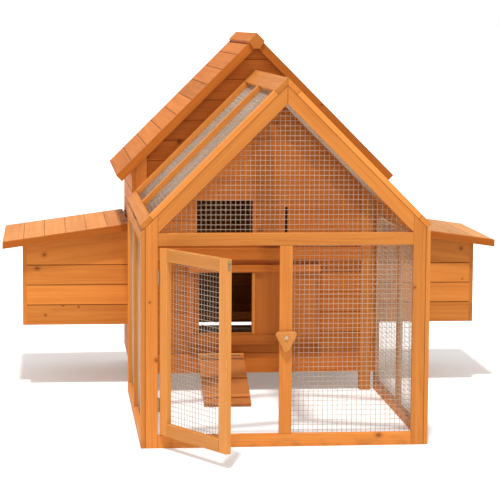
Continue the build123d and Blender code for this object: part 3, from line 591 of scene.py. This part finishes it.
# The wires of a sheet run level in one layer and upward in another, welded where they cross.
def wirePiece(node):
    allPlaces, allQuads, allCaps = [], [], []
    start = 0
    layer = weldedWire["radius"] * weldedWire["layerShare"]
    for sheet in solidsOf(node):
        middle, normal, level, upward, outline = sheetPlan(sheet)
        for along, across, axes, side in ((level, upward, [0, 1], 1), (upward, level, [1, 0], -1)):
            shape = outline[:, axes]
            first = shape[:, 1].min() + weldedWire["pitch"] * weldedWire["firstShare"]
            levels = np.arange(first, shape[:, 1].max() - weldedWire["lastGap"], weldedWire["pitch"])
            low, high = clipped(shape, levels)
            keep = high - low > weldedWire["shortest"]
            rows = middle + normal * layer * side + levels[keep, None] * across
            starts = rows + (low[keep, None] + weldedWire["endGap"]) * along
            ends = rows + (high[keep, None] - weldedWire["endGap"]) * along
            places, quads, caps = wireTubes(starts, ends, normal, across)
            allPlaces.append(places)
            allQuads += (quads + start).tolist()
            allCaps += (caps + start).tolist()
            start += len(places)
    piece = meshObject("wires_" + node, np.concatenate(allPlaces), allQuads + allCaps)
    piece.data.shade_smooth()
    piece.data.materials.append(wireZinc)
    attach(piece, bodyOfNode[node])
    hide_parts(node)


for node in sorted(frame["nodes"]):
    if slotOfNode[node] == "galvanised_mesh":
        wirePiece(node)
print("wire strung")


def fixingPiece(name, body, places, faces):
    piece = meshObject(name, places, faces)
    piece.data.materials.append(darkSteel)
    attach(piece, body)


# A fixing's head is a profile turned round its own axis. 'profile' holds (radius, height, pinch) from the rim
# to the middle, and a pinch draws that ring into a cross for the driver: radius times 1 + pinch cos(4 angle).
def fixingHeads(name, body, spots, outwards, profile, sides):
    spots, outwards = np.array(spots), np.array(outwards)
    count = len(spots)
    level = np.abs(outwards[:, 2:]) < 0.9
    aside = np.cross(outwards, np.where(level, [[0.0, 0.0, 1.0]], [[1.0, 0.0, 0.0]]))
    aside /= np.linalg.norm(aside, axis=1)[:, None]
    other = np.cross(outwards, aside)
    turn = np.arange(sides) * 2 * pi / sides + luck.uniform(0, pi, (count, 1))
    rings = []
    for radius, height, pinch in profile:
        reach = radius * (1 + pinch * np.cos(4 * (turn - turn[:, :1])))
        ring = aside[:, None] * (reach * np.cos(turn))[..., None]
        ring = ring + other[:, None] * (reach * np.sin(turn))[..., None]
        rings.append(spots[:, None] + ring + outwards[:, None] * height)
    quads, caps = tubeFaces(count, len(profile), sides)
    fixingPiece(name, body, np.stack(rings, 1).reshape(-1, 3), quads.tolist() + caps.tolist())


# Two nails go across a board wherever it has timber right behind it and a free face in front.
nails = {"inset": 0.010, "step": 0.006, "longestRun": 0.12, "acrossShare": 0.30, "behind": 0.003,
         "jitter": 0.002, "narrowest": 0.008, "sides": 10,
         "profile": [(0.0019, -0.0002, 0.0), (0.0019, 0.00012, 0.0), (0.0012, 0.00028, 0.0),
                     (0.0004, 0.00032, 0.0)]}
nailedNodes = ["house_roof_boards_left", "house_roof_boards_right", "nest_walls_left", "nest_walls_right",
               "side_wall_left", "side_wall_right", "front_wall_boards", "rear_wall_boards", "ramp_treads"]


def nailedNode(node):
    spots, outwards = [], []
    for board in solidsOf(node):
        grain, across, through = boardAxes(board)
        flat = board.reshape(-1, 3)
        middle = boxMiddle(flat)
        halves = [np.abs((flat - middle) @ axis).max() for axis in (grain, across, through)]
        halfLength, halfWidth, halfDepth = halves
        reach = halfLength - nails["inset"]
        stations = np.arange(-reach, reach + 1e-6, nails["step"])
        if len(stations) < 2 or halfWidth < nails["narrowest"]:
            continue
        line = middle + stations[:, None] * grain
        for side in (-1, 1):
            beyond = side * through * (halfDepth + nails["behind"])
            free = ~insideAnother(line + beyond, bodyOfNode[node])
            backed = insideAnother(line - beyond, bodyOfNode[node])
            held = np.flatnonzero(free & backed)
            if not len(held):
                continue
            for run in np.split(held, np.flatnonzero(np.diff(held) > 1) + 1):
                if len(run) * nails["step"] > nails["longestRun"]:
                    continue
                centre = line[run].mean(0) + side * through * halfDepth
                for share in (-1, 1):
                    jitter = luck.uniform(-nails["jitter"], nails["jitter"], 2)
                    aside = share * nails["acrossShare"] * 2 * halfWidth
                    spots.append(centre + across * (aside + jitter[0]) + grain * jitter[1])
                    outwards.append(side * through)
            break
    if spots:
        fixingHeads("nails_" + node, bodyOfNode[node], spots, outwards, nails["profile"], nails["sides"])
    return len(spots)


print("nails:", sum(nailedNode(node) for node in nailedNodes))


# Two screws hold each hinge leaf, on the side with no timber against it, in line with the hinge.
screws = {"alongShare": 0.33, "leafLength": 0.042, "reach": 0.0030, "sides": 16, "catchDrop": 0.012,
          "catchSize": 0.62,
          "profile": [(0.0029, -0.0001, 0.0), (0.0028, 0.00010, 0.0), (0.0021, 0.00026, 0.0),
                      (0.0014, 0.00028, 0.42), (0.0010, 0.00010, 0.42)]}


def screwedLeaves(node):
    spots, outwards = [], []
    for leaf in solidsOf(node):
        _, _, through = boardAxes(leaf)
        normals, _ = facesOf(leaf)
        plate = leaf[np.abs(normals @ through) > facingAlike]
        heights = plate.mean(1) @ through
        flat = plate.reshape(-1, 3)
        middle = boxMiddle(flat)
        along = np.eye(3)[np.abs(np.ptp(flat, 0) - screws["leafLength"]).argmin()]
        for side, face in ((1.0, heights.max()), (-1.0, heights.min())):
            probe = middle + through * (face - middle @ through + side * screws["reach"])
            if not insideAnother(probe[None], bodyOfNode[node])[0]:
                break
        for share in (-1, 1):
            aside = along * share * screws["alongShare"] * screws["leafLength"]
            spots.append(middle + aside + through * (face - middle @ through))
            outwards.append(side * through)
    fixingHeads("screws_" + node, bodyOfNode[node], spots, outwards, screws["profile"], screws["sides"])
    return len(spots)


def catchPlateScrew():
    plate, = solidsOf("door_catch_plate")
    _, _, through = boardAxes(plate)
    flat = plate.reshape(-1, 3)
    middle = boxMiddle(flat)
    middle[2] = flat[:, 2].max() - screws["catchDrop"]
    side = 1.0 if insideAnother((middle - through * screws["reach"])[None], "run_door")[0] else -1.0
    profile = [(radius * screws["catchSize"], height, pinch) for radius, height, pinch in screws["profile"]]
    fixingHeads("screw_door_catch_plate", "run_door", [middle], [through * side], profile, screws["sides"])


catchPlateScrew()
print("screws:", sum(screwedLeaves(node) for node in sorted(frame["nodes"]) if "leaves" in node))


# Staples: a short bar over the wires every so often along a sheet's edge, where timber lies behind it, with a
# leg at each end of it into the timber. The bar and the legs are straight six-sided tubes.
staples = {"inset": 0.006, "spacing": 0.075, "length": 0.010, "radius": 0.00055, "behind": 0.0025, "sides": 6,
           "shortestRun": 0.05, "corner": 0.03, "lift": 0.0015, "leg": 0.0016}


def stapledSheet(node):
    starts, ends, lifts, sideways = [], [], [], []
    for sheet in solidsOf(node):
        middle, normal, level, upward, outline = sheetPlan(sheet)
        for first, second in zip(outline, np.roll(outline, -1, 0)):
            run = np.linalg.norm(second - first)
            if run < staples["shortestRun"]:
                continue
            edge = (second - first) / run
            inward = np.array((-edge[1], edge[0]))
            count = max(2, int(run / staples["spacing"]))
            for station in np.linspace(staples["corner"], run - staples["corner"], count):
                flatSpot = first + edge * station + inward * staples["inset"]
                spot = middle + level * flatSpot[0] + upward * flatSpot[1]
                hidden = [insideAnother((spot + normal * side * staples["behind"])[None], bodyOfNode[node])[0]
                          for side in (1, -1)]
                if hidden[0] == hidden[1]:
                    continue
                lift = -normal if hidden[0] else normal
                spot = spot + lift * staples["lift"]
                half = (level * edge[0] + upward * edge[1]) * staples["length"] / 2
                starts.append(spot - half)
                ends.append(spot + half)
                lifts.append(lift)
                sideways.append(level * inward[0] + upward * inward[1])
    if not starts:
        return 0
    starts, ends, lifts, sideways = (np.array(values) for values in (starts, ends, lifts, sideways))
    down = lifts * staples["leg"]
    lengthways = np.cross(lifts, sideways)
    sides = staples["sides"]
    turn = (np.arange(sides) * 2 * pi / sides)[None, :, None]
    places, faces = [], []
    for first, second, axisA, axisB in ((starts, ends, lifts, sideways),
                                        (starts, starts - down, sideways, lengthways),
                                        (ends, ends - down, sideways, lengthways)):
        outward = np.sign((np.cross(axisA, axisB) * (second - first)).sum(1))[:, None, None]
        ring = staples["radius"] * (np.cos(turn) * axisA[:, None] * outward + np.sin(turn) * axisB[:, None])
        quads, caps = tubeFaces(len(first), 2, sides)
        offset = len(places) * len(first) * 2 * sides
        places.append(np.stack([first[:, None] + ring, second[:, None] + ring], 1).reshape(-1, 3))
        faces += (quads + offset).tolist() + (caps + offset).tolist()
    fixingPiece("staples_" + node, bodyOfNode[node], np.concatenate(places), faces)
    return len(starts)


stapledNodes = [node for node in sorted(frame["nodes"]) if slotOfNode[node] == "galvanised_mesh"]
print("staples:", sum(stapledSheet(node) for node in stapledNodes))


studio = {"floorHalf": 400.0, "cameraPlace": (-0.7298, -6.7357, 1.2967), "turnRight": 5.8251,
          "tiltDown": 6.4518, "roll": 0.3494, "lens": 145.457, "sunHeight": 70.0, "sunFromLeft": 16.0,
          "sunStrength": 3.1, "sunWidth": 4.0, "skyStrength": 0.78, "floorShade": 0.82, "floorGlow": 0.20}


def plainFloor():
    half = studio["floorHalf"]
    corners = [(-half, -half, 0), (half, -half, 0), (half, half, 0), (-half, half, 0)]
    floor = meshObject("studio_floor", corners, [(0, 1, 2, 3)])
    paint = Looks("studio_floor_paint")
    paint.set(Base_Color=colour(*[studio["floorShade"]] * 3), Roughness=0.9)
    paint.set(Emission_Color=colour(1.0, 1.0, 1.0), Emission_Strength=studio["floorGlow"])
    floor.data.materials.append(paint.material)


def sunLight():
    height, left = radians(studio["sunHeight"]), radians(studio["sunFromLeft"])
    towards = Vector((-sin(left) * cos(height), -cos(left) * cos(height), sin(height)))
    data = bpy.data.lights.new("key_light", "SUN")
    data.energy = studio["sunStrength"]
    data.angle = radians(studio["sunWidth"])
    lamp = bpy.data.objects.new("key_light", data)
    bpy.context.scene.collection.objects.link(lamp)
    lamp.rotation_euler = towards.to_track_quat("Z", "Y").to_euler()


# The sky lights the coop at its own strength, and the camera sees it plain white.
def studioSky():
    world = bpy.data.worlds.new("studio_sky")
    bpy.context.scene.world = world
    world.use_nodes = True
    tree = world.node_tree
    background = tree.nodes["Background"]
    background.inputs["Color"].default_value = colour(1.0, 1.0, 1.0)
    rays = tree.nodes.new("ShaderNodeLightPath")
    strength = tree.nodes.new("ShaderNodeMapRange")
    strength.inputs["To Min"].default_value = studio["skyStrength"]
    strength.inputs["To Max"].default_value = 1.0
    tree.links.new(rays.outputs["Is Camera Ray"], strength.inputs["Value"])
    tree.links.new(strength.outputs["Result"], background.inputs["Strength"])


def studioCamera():
    turn, tilt, roll = (radians(studio[key]) for key in ("turnRight", "tiltDown", "roll"))
    forward = Vector((sin(turn) * cos(tilt), cos(turn) * cos(tilt), -sin(tilt)))
    right = Vector((cos(turn), -sin(turn), 0.0))
    up = right.cross(forward)
    rolledRight = right * cos(roll) + up * sin(roll)
    rolledUp = up * cos(roll) - right * sin(roll)
    data = bpy.data.cameras.new("camera")
    data.lens = studio["lens"]
    data.sensor_width = 36.0
    camera = bpy.data.objects.new("camera", data)
    bpy.context.scene.collection.objects.link(camera)
    turned = Matrix((rolledRight, rolledUp, -forward)).transposed().to_4x4()
    camera.matrix_world = Matrix.Translation(studio["cameraPlace"]) @ turned
    bpy.context.scene.camera = camera


plainFloor()
sunLight()
studioSky()
bpy.context.scene.view_settings.view_transform = "Standard"
studioCamera()
print("studio set")
